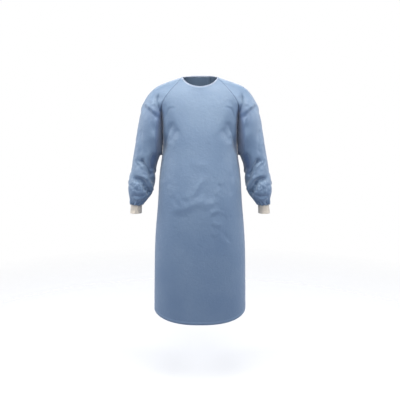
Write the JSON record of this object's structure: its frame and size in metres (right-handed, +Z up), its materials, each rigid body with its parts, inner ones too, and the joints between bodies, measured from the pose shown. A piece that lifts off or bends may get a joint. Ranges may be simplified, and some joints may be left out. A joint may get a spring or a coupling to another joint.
{
  "type": "surgical gown",
  "caption": "Long-sleeved surgical gown in its hollow worn form, open down the back, with raglan sleeves, knit cuffs, bound neck and ties.",
  "frame": {"origin": "middle of the neck opening at the level where the wearer's shoulders hold the gown up", "axes": "+Z up, the front faces -Y, +X to the wearer's left"},
  "size_m": [0.7064, 0.3403, 1.1968],
  "materials": {
    "gown_cloth": "matte blue nonwoven",
    "binding_cloth": "matte pale blue tape",
    "cuff_knit": "off-white ribbed knit"
  },
  "bodies": {
    "root": {"front_panel": "gown_cloth", "back_panel_left": "gown_cloth", "back_panel_right": "gown_cloth", "sleeve_left": "gown_cloth", "sleeve_right": "gown_cloth", "cuff_left": "cuff_knit", "cuff_right": "cuff_knit", "neck_binding": "binding_cloth", "neck_tab": "binding_cloth", "waist_tie_left": "gown_cloth", "waist_tie_right": "gown_cloth", "waist_knot": "gown_cloth", "tie_tail_long": "gown_cloth", "tie_tail_short": "gown_cloth"}
  },
  "joints": []
}
